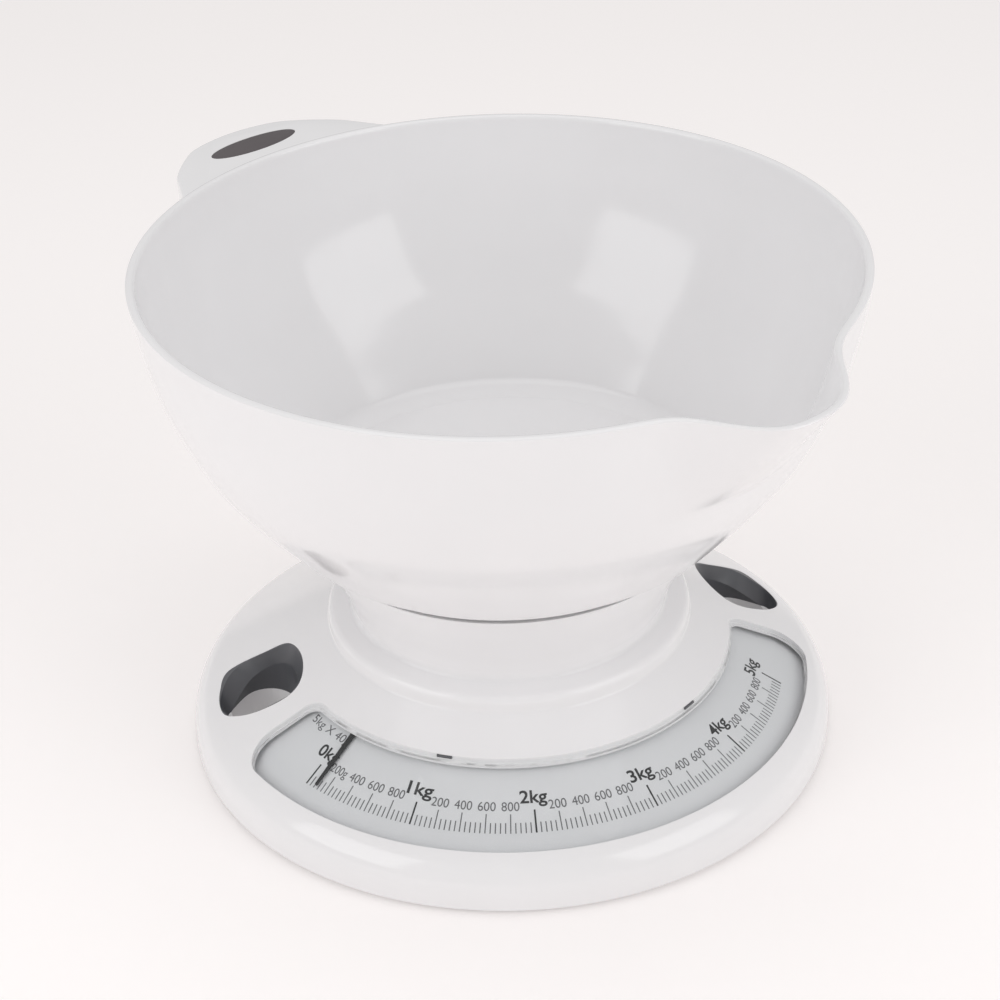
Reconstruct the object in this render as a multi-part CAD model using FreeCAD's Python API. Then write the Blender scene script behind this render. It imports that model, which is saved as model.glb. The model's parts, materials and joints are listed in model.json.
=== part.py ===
"""Mechanical kitchen scale: a bowl on a waisted base with a ring dial, 5 kg in 40 g steps.

Frame: millimetres, +Z up, front of the dial towards -Y. The origin is on the axis of the
column, on the table that the rubber feet stand on.
"""
import FreeCAD, Part
import math
import os

V = FreeCAD.Vector

# ---------------------------------------------------------------- driving dimensions
# base
BASE_R = 108.5              # outer radius of the base
FOOT_LIFT = 1.5             # the base's lower edge above the table
SHELL = 2.2                 # wall of the housing
CONE_DEG = 30.0             # slope of the top of the base, the dial and the lens
CONE_APEX = 76.5            # height at which the top cone would meet the axis
EDGE_ROUND = 13.0           # rounding between the top cone and the side of the base
# column
SHOULDER_R = 60.8           # raised ring round the foot of the column
SHOULDER_RISE = 5.3
WAIST_R = 52.8
WAIST_Z = 51.0
COLUMN_TOP_R = 64.8
COLUMN_TOP_Z = 78.3
COLUMN_MID_BOW = 0.9        # how far the flared wall is hollowed from a straight line
# dial window
WINDOW_IN_R = 74.2
WINDOW_OUT_R = 101.0
WINDOW_END_Y = -19.3
WINDOW_IN_CORNER = 6.5
WINDOW_OUT_CORNER = 9.0
LENS = 1.5                  # thickness of the lens
LENS_GAP = 0.35             # gap round the lens
LEDGE = 0.9                 # ledge that the lens lies on
# dial
DIAL_DROP = 4.5             # dial below the top cone, measured upright
DIAL = 1.0                  # thickness of the dial plate
DIAL_IN_R = 69.5
DIAL_OUT_R = 103.0
DIAL_END_Y = -13.5
DIAL_SCREW_DEG = (-152.0, -121.0, -90.0, -59.0, -28.0)
DIAL_SCREW_R = 103.0
DIAL_BOSS_R = 1.7
# finger grips: corners of the opening, the right-hand one, seen from above
GRIP_RIM = ((80.0, -10.2), (91.0, -7.0), (98.3, -0.6), (99.9, 6.0), (98.2, 15.0),
            (93.3, 23.4), (80.5, 19.4), (73.4, 15.2), (71.4, 4.0), (74.0, -6.5))
GRIP_TUBE = ((80.5, -8.4), (90.0, -5.4), (96.4, 0.2), (97.6, 5.0), (93.5, 11.8),
             (86.5, 17.6), (80.0, 17.4), (75.2, 13.4), (73.4, 4.0), (75.6, -5.0))
GRIP_WALL = 1.5
GRIP_FUNNEL = 6.5           # upright depth of the sloping upper wall
GRIP_BOTTOM_Z = 14.5
# bottom cover, feet and fasteners
COVER = 2.0
COVER_GAP = 0.4
FOOT_R = 7.5
FOOT_SINK = 1.0
FOOT_PITCH_R = 90.0
FOOT_DEG = (52.0, 128.0, 225.0, 315.0)
COVER_SCREW_R = 93.0
COVER_SCREW_DEG = (38.0, 76.0, 104.0, 142.0)
SCREW_R = 1.5
SCREW_HEAD_R = 2.9
SCREW_HEAD = 1.6
BOSS_R = 3.6
SNAP_DEG = (235.0, 270.0, 305.0)
SNAP_WIDTH = 14.0
# weighing platform and plunger
TRAVEL = 3.6                # platform travel from rest to the end of the dial
TRAVEL_UP = 0.24            # rise when the bowl is lifted off
PLATFORM_R = 67.5
PLATFORM_Z = 84.6           # top of the rim that the bowl's foot rests on
PLATFORM = 2.0
SKIRT_Z = 81.2
SKIRT = 1.9
SPIGOT_R = 61.5             # raised disc that centres the bowl
SPIGOT = 2.3
STEM_R = 2.5
STEM_BOSS_R = 7.0
STEM_BOSS_Z = 69.0
# support deck, guide tube and main spring
DECK_R = 46.0
DECK_Z = 41.0
DECK = 3.0
TUBE_R = 5.0
TUBE_BOTTOM_Z = 24.0
TUBE_TOP_Z = 63.0
BUSH = 9.0                  # length of each guide bush
BUSH_R = 3.7
RUN_GAP = 0.05              # radial clearance of a running fit
DECK_BOSS_PITCH_R = 39.0
DECK_BOSS_DEG = (45.0, 135.0, 225.0, 315.0)
DECK_BOSS_TOP_Z = 59.0
SPRING_R = 12.0             # to the middle of the wire
SPRING_WIRE_R = 1.3
SPRING_TURNS = 5.0
SPRING_SEAT = 0.8
# pointer drive
MODULE = 1.0
PINION_TEETH = 14
SWEEP_DEG = 125.0           # 0 to 5 kg
REST_DEG = -149.95          # direction of the pointer at rest
PINION_Z = 30.3
PINION = 4.0
TOOTH_SLACK = 0.2
FLANGE_R = 9.0
FLANGE = 1.5
HUB_R = 7.0
HUB_TOP_Z = 38.2
POINTER = 0.6
POINTER_RING_R = 9.5
POINTER_GAP = 0.7           # pointer above the dial, measured upright
POINTER_TIP_R = 91.9
POINTER_TIP_W = 0.9
POINTER_ROOT_W = 5.6
CLIP = 0.8
# rack
RACK_H = 3.5
RACK_DEPTH = 5.0            # pitch line to the back of the rack
RACK_FRONT_Y = -11.5
RACK_REAR_Y = 41.0
GUIDE = 3.0
GUIDE_FRONT_Y = -10.0
GUIDE_REAR_Y = 19.0
SLIDE_GAP = 0.3
# bell crank
CRANK_Z = 9.0
CRANK_LONG = 20.0
CRANK_T = 2.3
CRANK_HUB_R = 2.4
CRANK_PIN_R = 1.1
DRIVE_PIN_R = 1.0
FINGER_R = 1.2
SLOT_SLACK = 0.4
SHORT_ARM_X = -7.8
LONG_ARM_X = -14.8
EAR = 1.8
BRACKET_REAR_Y = 17.5
# zero adjuster
ZERO_R = 1.5
ZERO_X = -5.9
ZERO_Z = 8.5
CLIP_R = 2.6                # retaining ring of the zero screw
CLIP_BACK = 4.9             # behind the outside of the base
KNOB_R = 6.5
KNOB_W = 6.0
KNOB_FLUTES = 18
# bowl
BOWL_R = 115.0
BOWL_RIM_Z = 172.2
BOWL_WALL = 2.6
BOWL_FOOT_R = 68.0
BOWL_FOOT_W = 5.0
BOWL_PROFILE = ((0.0, 0.0), (6.5, -0.85), (18.5, -3.0), (33.0, -6.8), (47.0, -12.5), (57.5, -18.1),
                (68.0, -25.7), (78.7, -34.5), (84.8, -39.6))
BOWL_LEVELS = 9
SECTION_POINTS = 72
SPOUT_DEG = -69.0
SPOUT_OUT = 23.4
SPOUT_LEFT_DEG = 10.0
SPOUT_RIGHT_DEG = 13.8
SPOUT_SQUARE = 2.8          # flatness of the spout's end, 2 is a plain bell curve
SPOUT_DEEP = 40.0
SPOUT_FADE = 1.15
HANDLE_DEG = 114.7
HANDLE_PLAN = ((106.5, 43.6), (114.0, 39.6), (122.7, 34.5), (131.5, 25.5), (137.5, 16.0))
HANDLE_OUT_R = 140.4
HANDLE_T = 3.0
HANDLE_SKIRT = 7.5
HANDLE_WALL = 2.4
GRIP_INSERT_R = 125.9
GRIP_INSERT_L = 34.5
GRIP_INSERT_W = 11.0
GRIP_INSERT_T = 1.6

# ---------------------------------------------------------------- derived dimensions
TAN = math.tan(math.radians(CONE_DEG))
COS = math.cos(math.radians(CONE_DEG))
COVER_TOP_Z = FOOT_LIFT + COVER
PITCH_R = MODULE * PINION_TEETH / 2
RACK_TRAVEL = PITCH_R * math.radians(SWEEP_DEG)
CRANK_SHORT = CRANK_LONG * TRAVEL / RACK_TRAVEL
MID_TRAVEL = (TRAVEL - TRAVEL_UP) / 2
CRANK_REST = -MID_TRAVEL / CRANK_SHORT
FINGER_Y = CRANK_SHORT + CRANK_LONG * math.sin(-CRANK_REST)
DRIVE_PIN_Z = CRANK_Z + CRANK_SHORT * math.tan(-CRANK_REST)
DECK_TOP_Z = DECK_Z + DECK
PLATFORM_UNDER_Z = PLATFORM_Z - PLATFORM
SPRING_BOTTOM_Z = DECK_TOP_Z + SPRING_SEAT
RACK_Z = PINION_Z + 0.2
RACK_BACK_X = -PITCH_R - RACK_DEPTH


def polar(radius, degrees, z=0.0):
    a = math.radians(degrees)
    return V(radius * math.cos(a), radius * math.sin(a), z)


def top_z(radius):
    """Height of the top cone of the base at a radius."""
    return CONE_APEX - radius * TAN


def outline(corners):
    """Closed wire through corners (a, b, rounding radius) in the XZ plane."""
    edges = []
    starts = []
    ends = []
    count = len(corners)
    for i in range(count):
        a, b, radius = corners[i]
        here = V(a, 0, b)
        if radius == 0:
            starts.append(here)
            ends.append(here)
            continue
        before = V(corners[i - 1][0], 0, corners[i - 1][1]) - here
        after = V(corners[(i + 1) % count][0], 0, corners[(i + 1) % count][1]) - here
        before.normalize()
        after.normalize()
        half = math.acos(max(-1.0, min(1.0, before.dot(after)))) / 2
        reach = radius / math.tan(half)
        centre_way = before + after
        centre_way.normalize()
        first = here + before * reach
        last = here + after * reach
        middle = here + centre_way * (radius / math.sin(half) - radius)
        edges.append((i, Part.Arc(first, middle, last).toShape()))
        starts.append(first)
        ends.append(last)
    ordered = []
    arcs = dict(edges)
    for i in range(count):
        if i in arcs:
            ordered.append(arcs[i])
        following = starts[(i + 1) % count]
        if ends[i].distanceToPoint(following) > 1e-6:
            ordered.append(Part.makeLine(ends[i], following))
    return Part.Wire(ordered)


def turned(corners):
    """Solid of revolution about Z of a rounded outline (radius, height, rounding)."""
    face = Part.Face(outline(corners))
    return face.revolve(V(0, 0, 0), V(0, 0, 1), 360)


def tube(outer, inner, low, high, centre=V(0, 0, 0)):
    solid = Part.makeCylinder(outer, high - low, V(centre.x, centre.y, low))
    if inner > 0:
        solid = solid.cut(Part.makeCylinder(inner, high - low + 2, V(centre.x, centre.y, low - 1)))
    return solid


def block(x0, x1, y0, y1, z0, z1):
    return Part.makeBox(x1 - x0, y1 - y0, z1 - z0, V(x0, y0, z0))


def along_x(radius, x0, x1, y, z):
    return Part.makeCylinder(radius, x1 - x0, V(x0, y, z), V(1, 0, 0))


def along_y(radius, y0, y1, x, z):
    return Part.makeCylinder(radius, y1 - y0, V(x, y0, z), V(0, 1, 0))


def spline_wire(points, z):
    curve = Part.BSplineCurve()
    curve.interpolate(Points=[V(x, y, z) for x, y in points], PeriodicFlag=True)
    return Part.Wire(curve.toShape())


def grown(points, distance):
    """Points of a closed outline, listed anticlockwise, moved outwards."""
    moved = []
    count = len(points)
    for i in range(count):
        before = points[i - 1]
        after = points[(i + 1) % count]
        dx = after[0] - before[0]
        dy = after[1] - before[1]
        length = math.hypot(dx, dy)
        moved.append((points[i][0] + distance * dy / length, points[i][1] - distance * dx / length))
    return moved


def mirrored(shape):
    """The same shape on the left-hand side."""
    return shape.mirror(V(0, 0, 0), V(1, 0, 0))


def screw(centre, head_low, length, up=True):
    """Pan head screw from below: the head is under head_low + SCREW_HEAD."""
    head = Part.makeCylinder(SCREW_HEAD_R, SCREW_HEAD, V(centre.x, centre.y, head_low))
    recess = block(-SCREW_HEAD_R * 0.6, SCREW_HEAD_R * 0.6, -0.4, 0.4, 0, 0.8)
    recess = recess.fuse(block(-0.4, 0.4, -SCREW_HEAD_R * 0.6, SCREW_HEAD_R * 0.6, 0, 0.8))
    shank = Part.makeCylinder(SCREW_R, length, V(centre.x, centre.y, head_low + SCREW_HEAD))
    recess.translate(V(centre.x, centre.y, head_low))
    body = head.fuse(shank).cut(recess)
    if not up:
        middle = V(centre.x, centre.y, head_low + SCREW_HEAD)
        body = body.mirror(middle, V(0, 0, 1))
    return body.removeSplitter()


def cone_slab(drop_top, drop_bottom, inner, outer):
    """Conical ring between two uprights drops below the top cone."""
    return turned([(inner, top_z(inner) - drop_top, 0), (outer, top_z(outer) - drop_top, 0),
                   (outer, top_z(outer) - drop_bottom, 0), (inner, top_z(inner) - drop_bottom, 0)])


def sector_prism(inner, outer, end_y, inner_corner, outer_corner):
    """Upright prism of the part of a ring in front of end_y, with rounded corners."""
    height = CONE_APEX
    ring = tube(outer, inner, 0, height)
    ring = ring.common(block(-outer - 1, outer + 1, -outer - 1, end_y, 0, height))
    if inner_corner == 0:
        return ring
    upright = [e for e in ring.Edges if abs(e.tangentAt(e.FirstParameter).z) > 0.99]
    at_outer = []
    at_inner = []
    for e in upright:
        middle = e.CenterOfMass
        if abs(middle.y - end_y) > 1e-3:
            continue
        if math.hypot(middle.x, middle.y) > (inner + outer) / 2:
            at_outer.append(e)
        else:
            at_inner.append(e)
    ring = ring.makeFillet(outer_corner, at_outer)
    at_inner = []
    for e in ring.Edges:
        middle = e.CenterOfMass
        if abs(e.tangentAt(e.FirstParameter).z) > 0.99 and abs(middle.y - end_y) < 1e-3:
            if abs(math.hypot(middle.x, middle.y) - inner) < 1e-3:
                at_inner.append(e)
    return ring.makeFillet(inner_corner, at_inner)


# ---------------------------------------------------------------- base
LENS_UPRIGHT = LENS / COS


def column_wall(inset):
    """Edges of the flared column wall from the waist up, moved in by inset."""
    low = V(WAIST_R - inset, 0, WAIST_Z)
    high = V(COLUMN_TOP_R - inset, 0, COLUMN_TOP_Z)
    middle = (low + high) * 0.5 - V(COLUMN_MID_BOW, 0, 0)
    return low, middle, high


def housing_body(inset, floor):
    """The solid inside the outer skin of the housing, moved in by inset."""
    drop = inset / COS
    outer = BASE_R - inset
    shoulder = SHOULDER_R - inset
    apex = CONE_APEX - drop
    side_z = apex - outer * TAN
    foot_z = apex - shoulder * TAN
    crown_z = CONE_APEX - SHOULDER_R * TAN + SHOULDER_RISE - inset
    low, middle, high = column_wall(inset)
    base = turned([(0, floor, 0), (outer, floor, 0), (outer, side_z, EDGE_ROUND - inset),
                   (shoulder, foot_z, 1.5), (shoulder, crown_z, max(0.8, 2.8 - inset)),
                   (WAIST_R - inset, crown_z + 1.6, 1.5), (WAIST_R - inset, WAIST_Z, 0), (0, WAIST_Z, 0)])
    wall = Part.Arc(low, middle, high).toShape()
    rest = Part.makePolygon([high, V(0, 0, COLUMN_TOP_Z), V(0, 0, WAIST_Z), low])
    column = Part.Face(Part.Wire([wall] + rest.Edges)).revolve(V(0, 0, 0), V(0, 0, 1), 360)
    return base.fuse(column)


def grip_solids():
    """Outer prism, funnel and tube of the right-hand finger grip."""
    low = GRIP_BOTTOM_Z
    high = CONE_APEX
    outer = Part.Face(spline_wire(grown(GRIP_RIM, GRIP_WALL), low)).extrude(V(0, 0, high - low))
    middle_x = sum(p[0] for p in GRIP_RIM) / len(GRIP_RIM)

    def tilted(points, drop):
        curve = Part.BSplineCurve()
        placed = [V(x, y, top_z(middle_x) - (x - middle_x) * TAN - drop) for x, y in points]
        curve.interpolate(Points=placed, PeriodicFlag=True)
        return Part.Wire(curve.toShape())

    funnel = Part.makeLoft([tilted(GRIP_TUBE, GRIP_FUNNEL), tilted(GRIP_RIM, -0.6)], True)
    above = Part.Face(tilted(GRIP_RIM, -0.6)).extrude(V(0, 0, 10))
    passage = Part.Face(spline_wire(GRIP_TUBE, 0)).extrude(V(0, 0, high))
    passage = passage.common(Part.Face(tilted(GRIP_TUBE, GRIP_FUNNEL)).extrude(V(0, 0, -high)))
    return outer, funnel.fuse(above), passage


def build_base():
    parts = {}
    shell = housing_body(0, FOOT_LIFT).cut(housing_body(SHELL, FOOT_LIFT - 1))
    shell = shell.cut(Part.makeCylinder(COLUMN_TOP_R - SHELL, 2 * SHELL, V(0, 0, COLUMN_TOP_Z - SHELL)))

    # lens pocket, ledge and through opening
    pocket = sector_prism(WINDOW_IN_R, WINDOW_OUT_R, WINDOW_END_Y, WINDOW_IN_CORNER, WINDOW_OUT_CORNER)
    through = sector_prism(WINDOW_IN_R + LEDGE, WINDOW_OUT_R - LEDGE, WINDOW_END_Y - LEDGE,
                           WINDOW_IN_CORNER - LEDGE, WINDOW_OUT_CORNER - LEDGE)
    slab = cone_slab(-2 * SHELL, LENS_UPRIGHT, WINDOW_IN_R - 5, WINDOW_OUT_R + 5)
    shell = shell.cut(pocket.common(slab)).cut(through)

    # bosses: dial, bottom cover and deck
    inner_body = housing_body(SHELL - 0.4, FOOT_LIFT)
    dial_top = cone_slab(DIAL_DROP, DIAL_DROP + DIAL, DIAL_IN_R, DIAL_OUT_R)
    for deg in DIAL_SCREW_DEG:
        at = polar(DIAL_SCREW_R, deg)
        low_z = top_z(DIAL_SCREW_R) - DIAL_DROP
        boss = Part.makeCylinder(DIAL_BOSS_R, 12, V(at.x, at.y, low_z - 3))
        above = cone_slab(-4, DIAL_DROP, DIAL_IN_R, BASE_R)
        shell = shell.fuse(boss.common(above).common(inner_body))
    for deg in COVER_SCREW_DEG:
        at = polar(COVER_SCREW_R, deg)
        boss = Part.makeCylinder(BOSS_R, CONE_APEX, V(at.x, at.y, COVER_TOP_Z))
        shell = shell.fuse(boss.common(inner_body))
    for deg in DECK_BOSS_DEG:
        at = polar(DECK_BOSS_PITCH_R, deg)
        boss = Part.makeCylinder(BOSS_R, DECK_BOSS_TOP_Z - DECK_TOP_Z, V(at.x, at.y, DECK_TOP_Z))
        rib = block(DECK_BOSS_PITCH_R, COLUMN_TOP_R, -1.2, 1.2, DECK_TOP_Z + 5, DECK_BOSS_TOP_Z - 2)
        rib.rotate(V(0, 0, 0), V(0, 0, 1), deg)
        shell = shell.fuse(boss).fuse(rib.common(inner_body))
    holes = []
    for deg in COVER_SCREW_DEG:
        holes.append(Part.makeCylinder(SCREW_R, 13, polar(COVER_SCREW_R, deg, FOOT_LIFT)))
    for deg in DECK_BOSS_DEG:
        holes.append(Part.makeCylinder(SCREW_R, 11, polar(DECK_BOSS_PITCH_R, deg, DECK_TOP_Z - 1)))
    for deg in DIAL_SCREW_DEG:
        holes.append(Part.makeCylinder(0.9, 3.2, polar(DIAL_SCREW_R, deg, top_z(DIAL_SCREW_R) - DIAL_DROP - 2)))
    for hole in holes:
        shell = shell.cut(hole)

    # groove for the snap tabs of the bottom cover, and the hole for the zero screw
    shell = shell.cut(tube(BASE_R - SHELL + 0.7, BASE_R - SHELL - 1, FOOT_LIFT + 5.8, FOOT_LIFT + 7.8))
    shell = shell.cut(along_y(ZERO_R + RUN_GAP, BASE_R - 12, BASE_R + 2, ZERO_X, ZERO_Z))

    # finger grips
    outer, funnel, passage = grip_solids()
    top_cut = cone_slab(-30, 0, 40, BASE_R + 5)
    for name, place in (("grip_liner_right", lambda s: s), ("grip_liner_left", mirrored)):
        liner = outer.cut(top_cut).cut(funnel).cut(passage)
        liner = liner.common(housing_body(0, FOOT_LIFT))
        shell = shell.cut(place(outer))
        parts[name] = place(liner)
    parts["base_housing"] = shell.removeSplitter()

    # lens
    window = sector_prism(WINDOW_IN_R + LENS_GAP, WINDOW_OUT_R - LENS_GAP, WINDOW_END_Y - LENS_GAP,
                          WINDOW_IN_CORNER - LENS_GAP, WINDOW_OUT_CORNER - LENS_GAP)
    parts["dial_lens"] = window.common(cone_slab(0, LENS_UPRIGHT, WINDOW_IN_R - 5, WINDOW_OUT_R + 5))

    # dial plate
    plate = dial_top.common(sector_prism(DIAL_IN_R, DIAL_OUT_R, DIAL_END_Y, 0, 0))
    screws = []
    for deg in DIAL_SCREW_DEG:
        at = polar(DIAL_SCREW_R - 0.9, deg)
        low_z = top_z(DIAL_SCREW_R) - DIAL_DROP
        shank_at = polar(DIAL_SCREW_R, deg)
        plate = plate.cut(Part.makeCylinder(1.0, 8, V(shank_at.x, shank_at.y, low_z - 5)))
        shank = Part.makeCylinder(0.9, 2.6, V(shank_at.x, shank_at.y, low_z - 2))
        head = Part.makeCylinder(1.8, 1.0, V(shank_at.x, shank_at.y, low_z - 3))
        screws.append(head.fuse(shank))
        plate = plate.cut(Part.makeCylinder(1.8, 6, V(shank_at.x, shank_at.y, low_z - 8)))
    parts["dial_plate"] = plate
    parts["dial_screws"] = Part.makeCompound(screws)
    return parts, outer, passage


def build_cover(outer, passage):
    parts = {}
    rim = BASE_R - SHELL - COVER_GAP
    cover = tube(rim, 0, FOOT_LIFT, COVER_TOP_Z)
    stiffener = tube(rim - 20, rim - 22, COVER_TOP_Z, COVER_TOP_Z + 3)
    clear = block(-BASE_R, BASE_R, -14, 28, 0, 20)
    cover = cover.fuse(stiffener.cut(clear).cut(block(-30, 30, 60, 110, 0, 20)))
    for deg in SNAP_DEG:
        reach = SNAP_WIDTH / 2
        wall = tube(rim, rim - 1.8, COVER_TOP_Z, FOOT_LIFT + 7.5)
        nib = tube(rim + 0.9, rim, FOOT_LIFT + 6.0, FOOT_LIFT + 7.5)
        span = block(rim - 5, rim + 5, -reach, reach, 0, 20)
        span.rotate(V(0, 0, 0), V(0, 0, 1), deg)
        cover = cover.fuse(wall.fuse(nib).common(span))
    for place in (lambda s: s, mirrored):
        low_wall = outer.copy()
        low_wall.translate(V(0, 0, -(GRIP_BOTTOM_Z - FOOT_LIFT)))
        low_wall = low_wall.common(block(-BASE_R, BASE_R, -BASE_R, BASE_R, FOOT_LIFT, GRIP_BOTTOM_Z))
        low_wall = low_wall.common(Part.makeCylinder(rim, 30))
        cover = cover.fuse(place(low_wall)).cut(place(passage))
    feet = []
    for deg in FOOT_DEG:
        at = polar(FOOT_PITCH_R, deg)
        cover = cover.fuse(Part.makeCylinder(FOOT_R + 1.5, 1.2, V(at.x, at.y, COVER_TOP_Z)))
        cover = cover.cut(Part.makeCylinder(FOOT_R, FOOT_SINK + 1, V(at.x, at.y, FOOT_LIFT - 1)))
        foot = Part.makeCylinder(FOOT_R, FOOT_LIFT + FOOT_SINK, V(at.x, at.y, 0))
        low = [e for e in foot.Edges if abs(e.CenterOfMass.z) < 1e-6 and e.Closed]
        feet.append(foot.makeFillet(0.5, low))
    cover_screws = []
    for deg in COVER_SCREW_DEG:
        at = polar(COVER_SCREW_R, deg)
        cover = cover.cut(Part.makeCylinder(SCREW_R, 6, V(at.x, at.y, 0)))
        cover = cover.cut(Part.makeCylinder(SCREW_HEAD_R, 1.0, V(at.x, at.y, FOOT_LIFT - 0.2)))
        cover_screws.append(screw(at, FOOT_LIFT + 0.8 - SCREW_HEAD, 11.5))

    # rails beside the sliding bracket
    for x0, x1, y0, y1 in ((LONG_ARM_X - EAR - 2.7, LONG_ARM_X - EAR - 0.7, 2.0, 16.0),
                           (-3.0, -1.4, 9.0, 16.0)):
        cover = cover.fuse(block(x0, x1, y0, y1, COVER_TOP_Z, COVER_TOP_Z + 2.4))
    for y in (-8.5, 22.5):
        cover = cover.fuse(Part.makeCylinder(2.6, 0.6, V(-22.0, y, COVER_TOP_Z)))
        cover = cover.cut(Part.makeCylinder(1.0, 10, V(-22.0, y, FOOT_LIFT + 0.8)))
    parts["bottom_cover"] = cover.removeSplitter()
    parts["cover_screws"] = Part.makeCompound(cover_screws)
    parts["rubber_feet"] = Part.makeCompound(feet)
    return parts


# ---------------------------------------------------------------- deck, platform and spring
def build_deck():
    parts = {}
    deck = tube(DECK_R, 0, DECK_Z, DECK_TOP_Z)
    deck = deck.fuse(tube(TUBE_R, 0, TUBE_BOTTOM_Z, TUBE_TOP_Z))
    deck = deck.fuse(tube(TUBE_R + 3, 0, HUB_TOP_Z + SLIDE_GAP, DECK_Z))
    deck = deck.fuse(tube(SPRING_R - SPRING_WIRE_R - 0.5, 0, DECK_TOP_Z, DECK_TOP_Z + 3))
    for deg in (0, 90, 180, 270):
        rib = block(SPRING_R + 5, DECK_R - 1, -1, 1, DECK_TOP_Z, DECK_TOP_Z + 2)
        rib.rotate(V(0, 0, 0), V(0, 0, 1), deg)
        deck = deck.fuse(rib)
    deck = deck.cut(Part.makeCylinder(BUSH_R, TUBE_TOP_Z, V(0, 0, 0)))
    for deg in DECK_BOSS_DEG:
        deck = deck.cut(Part.makeCylinder(SCREW_R, 10, polar(DECK_BOSS_PITCH_R, deg, DECK_Z - 3)))
    parts["support_deck"] = deck.removeSplitter()
    screws = [screw(polar(DECK_BOSS_PITCH_R, deg), DECK_Z - SCREW_HEAD, DECK + 9) for deg in DECK_BOSS_DEG]
    parts["deck_screws"] = Part.makeCompound(screws)
    parts["lower_bush"] = tube(BUSH_R, STEM_R + RUN_GAP, TUBE_BOTTOM_Z, TUBE_BOTTOM_Z + BUSH)
    parts["upper_bush"] = tube(BUSH_R, STEM_R + RUN_GAP, TUBE_TOP_Z - BUSH, TUBE_TOP_Z)
    parts["spring_seat"] = tube(SPRING_R + SPRING_WIRE_R + 0.7, SPRING_R - SPRING_WIRE_R - 0.5,
                                DECK_TOP_Z, SPRING_BOTTOM_Z)
    parts["hub_clip"] = tube(TUBE_R + 2, TUBE_R, PINION_Z - SLIDE_GAP - CLIP, PINION_Z - SLIDE_GAP)
    parts["main_spring"] = coil(SPRING_R, SPRING_WIRE_R, SPRING_BOTTOM_Z, PLATFORM_UNDER_Z, SPRING_TURNS)
    return parts


def coil(radius, wire, low, high, turns):
    """Compression spring with its wire's ends just inside two flat seats."""
    bottom = low + wire
    top = high - wire
    pitch = (top - bottom) / turns
    helix = Part.makeHelix(pitch, top - bottom, radius)
    helix.translate(V(0, 0, bottom))
    start = V(radius, 0, bottom)
    profile = Part.Wire(Part.makeCircle(wire, start, V(0, 1, pitch / (2 * math.pi * radius))))
    return Part.Wire(helix.Edges).makePipeShell([profile], True, True)


def build_platform():
    parts = {}
    plate = turned([(0, PLATFORM_UNDER_Z, 0), (PLATFORM_R - SKIRT, PLATFORM_UNDER_Z, 0),
                    (PLATFORM_R - SKIRT, SKIRT_Z, 0), (PLATFORM_R, SKIRT_Z, 0.5),
                    (PLATFORM_R, PLATFORM_Z, 0.6), (SPIGOT_R + 0.8, PLATFORM_Z, 0.5),
                    (SPIGOT_R, PLATFORM_Z + SPIGOT, 1.0), (0, PLATFORM_Z + SPIGOT, 0)])
    hollow = tube(SPIGOT_R - PLATFORM, 16.0, PLATFORM_UNDER_Z - 1, PLATFORM_Z + SPIGOT - PLATFORM)
    spokes = []
    for i in range(6):
        rib = block(15, SPIGOT_R - 1, -0.9, 0.9, PLATFORM_UNDER_Z, PLATFORM_Z + 1)
        rib.rotate(V(0, 0, 0), V(0, 0, 1), 60 * i)
        spokes.append(rib)
    plate = plate.cut(hollow)
    for rib in spokes:
        plate = plate.fuse(rib)
    collar = SPRING_R + SPRING_WIRE_R + 0.5
    plate = plate.fuse(tube(collar + 1.6, collar, PLATFORM_UNDER_Z - 4, PLATFORM_UNDER_Z + 1))
    plate = plate.fuse(tube(STEM_BOSS_R, 0, STEM_BOSS_Z, PLATFORM_Z))
    stem_top = PLATFORM_UNDER_Z
    plate = plate.cut(Part.makeCylinder(STEM_R, stem_top - STEM_BOSS_Z + 1, V(0, 0, STEM_BOSS_Z - 1)))
    head_low = PLATFORM_Z + SPIGOT - SCREW_HEAD - 0.6
    plate = plate.cut(Part.makeCylinder(SCREW_R, 20, V(0, 0, stem_top - 1)))
    plate = plate.cut(Part.makeCylinder(SCREW_HEAD_R + 0.3, 5, V(0, 0, head_low)))
    parts["platform"] = plate.removeSplitter()
    fixing = screw(V(0, 0, 0), head_low - SCREW_HEAD, head_low - stem_top + 8, up=False)
    parts["platform_screw"] = fixing
    stem = tube(STEM_R, 0, DRIVE_PIN_Z - 2.4, stem_top)
    stem = stem.cut(Part.makeCylinder(SCREW_R, 8.0, V(0, 0, stem_top - 8)))
    stem = stem.cut(along_x(DRIVE_PIN_R, -5, 5, 0, DRIVE_PIN_Z))
    groove_z = TUBE_BOTTOM_Z - TRAVEL_UP - SLIDE_GAP - CLIP
    stem = stem.cut(tube(STEM_R + 1, STEM_R - 0.5, groove_z, groove_z + CLIP))
    parts["plunger_stem"] = stem
    parts["drive_pin"] = along_x(DRIVE_PIN_R, SHORT_ARM_X - 0.4, STEM_R + 0.4, 0, DRIVE_PIN_Z)
    clip = tube(STEM_R + 1.6, STEM_R - 0.5, groove_z, groove_z + CLIP)
    parts["stem_clip"] = clip.cut(block(-1.5, 1.5, 0, 6, groove_z - 1, groove_z + 2))
    return parts


# ---------------------------------------------------------------- pointer drive
def rack_tooth_half(height, slack):
    """Half width of a tooth at a height above the pitch line, 20 degree flanks."""
    return math.pi * MODULE / 4 - slack / 2 - height * math.tan(math.radians(20))


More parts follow.
